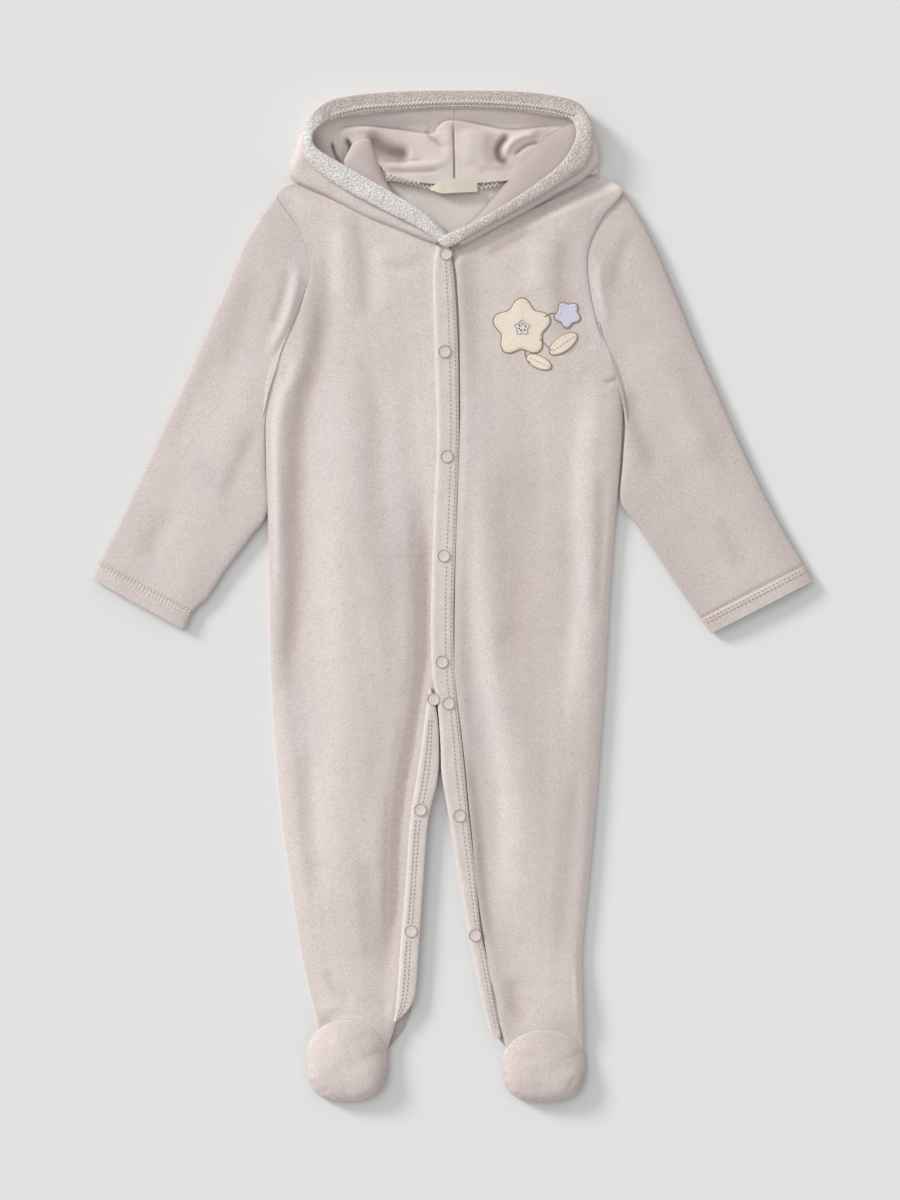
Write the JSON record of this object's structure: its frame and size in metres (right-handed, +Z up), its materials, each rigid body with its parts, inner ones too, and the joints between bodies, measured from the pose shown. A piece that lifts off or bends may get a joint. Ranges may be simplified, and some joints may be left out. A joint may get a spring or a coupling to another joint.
{
  "type": "footed baby sleepsuit",
  "caption": "Hooded velour baby sleepsuit with feet, laid flat on its back, with long sleeves, a centre front snap band and snapped inseams.",
  "frame": {"origin": "on the floor, under the middle of the laid-out suit", "axes": "+Z up from the floor, +Y from the toes to the hood, +X to the wearer's left sleeve"},
  "size_m": [0.504, 0.7056, 0.019],
  "materials": {
    "velour": "cotton-rich velour, short soft nap",
    "band": "velour folded double and stitched",
    "sole": "velour sole",
    "label": "blank woven label",
    "applique_cream": "stitched patch, napped",
    "applique_lilac": "stitched patch, napped",
    "snap_enamel": "pale enamelled ring snap"
  },
  "bodies": {
    "root": {"back_panel": "velour", "front_panel_right": "velour", "front_panel_left": "velour", "front_band": "band", "leg_band_right": "band", "sleeve_right": "velour", "sleeve_left": "velour", "hood_half_right": "velour", "hood_half_left": "velour", "hood_side_right": "velour", "hood_side_left": "velour", "hood_band": "band", "foot_top_right": "velour", "foot_top_left": "velour", "sole_right": "sole", "sole_left": "sole", "neck_label": "label", "applique_flower": "applique_cream", "applique_bud": "applique_lilac", "applique_leaf_1": "applique_cream", "applique_leaf_2": "applique_cream", "snap_01": "snap_enamel", "snap_02": "snap_enamel", "snap_03": "snap_enamel", "snap_04": "snap_enamel", "snap_05": "snap_enamel", "snap_06": "snap_enamel", "snap_07": "snap_enamel", "snap_08": "snap_enamel", "snap_09": "snap_enamel", "snap_10": "snap_enamel", "snap_11": "snap_enamel"}
  },
  "joints": []
}
